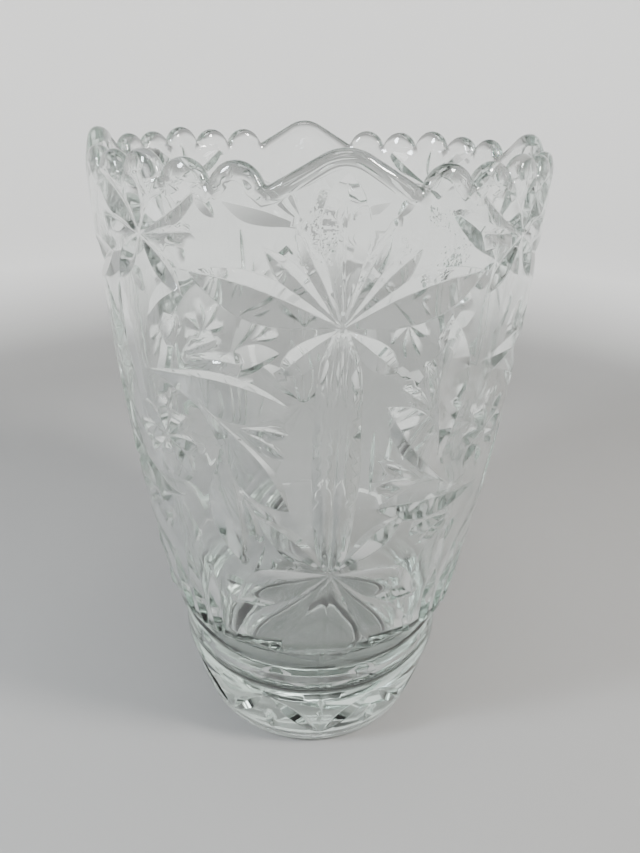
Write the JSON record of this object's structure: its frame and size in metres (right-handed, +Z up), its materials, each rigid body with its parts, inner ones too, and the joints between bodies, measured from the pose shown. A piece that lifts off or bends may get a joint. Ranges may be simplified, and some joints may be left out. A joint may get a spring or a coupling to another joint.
{
  "type": "flower vase",
  "caption": "Clear pressed-glass flower vase: tapered round body, thick floor, scalloped rim, and panels of cut-look flowers, stars and leaves.",
  "frame": {"origin": "centre of the underside, at the level of the ring that the vase stands on", "axes": "+Z up along the vase's axis to the open mouth; -Y out through the middle of the front panel, under one of the four tall rim peaks"},
  "size_m": [0.131, 0.131, 0.206],
  "materials": {
    "clear_glass": "clear fire-polished pressed glass with a faint grey-green tint where it is thick"
  },
  "bodies": {
    "root": {"vase_glass": "clear_glass"}
  },
  "joints": []
}
